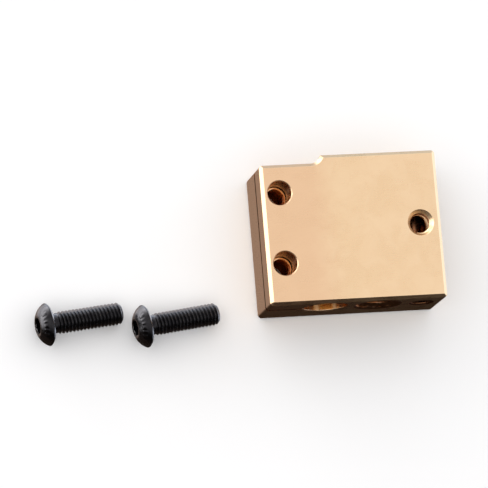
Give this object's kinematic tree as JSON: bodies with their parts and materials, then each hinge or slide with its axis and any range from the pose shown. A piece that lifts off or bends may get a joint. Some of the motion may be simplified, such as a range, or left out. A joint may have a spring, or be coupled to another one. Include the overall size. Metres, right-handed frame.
{
  "type": "hotend heater block",
  "caption": "Clamp-type hotend heater block with a stepped top, slit, heater, nozzle and thermistor bores, and its loose button-head clamp screws.",
  "frame": {"origin": "centre of the block's back face, on the surface the block lies on", "axes": "+Z out of the front face with the screw holes, +Y along the bores towards the stepped top, +X from the clamp side to the thermistor side"},
  "size_m": [0.0544, 0.0235, 0.01],
  "materials": {
    "plated_block": "satin, plated",
    "black_steel": "black oxide"
  },
  "bodies": {
    "block": {"heater_block": "plated_block"},
    "screw_1": {"clamp_screw_1": "black_steel"},
    "screw_2": {"clamp_screw_2": "black_steel"}
  },
  "joints": [
    {"name": "clamp_screw_1_turn", "type": "hinge", "parent": "block", "child": "screw_1", "pos_m": [-0.0405, -0.0097, 0.00279], "axis": [0.9834, 0.1207, -0.1358], "continuous": true},
    {"name": "clamp_screw_2_turn", "type": "hinge", "parent": "block", "child": "screw_2", "pos_m": [-0.0275, -0.0106, 0.00279], "axis": [0.9811, 0.1379, -0.1358], "continuous": true}
  ]
}
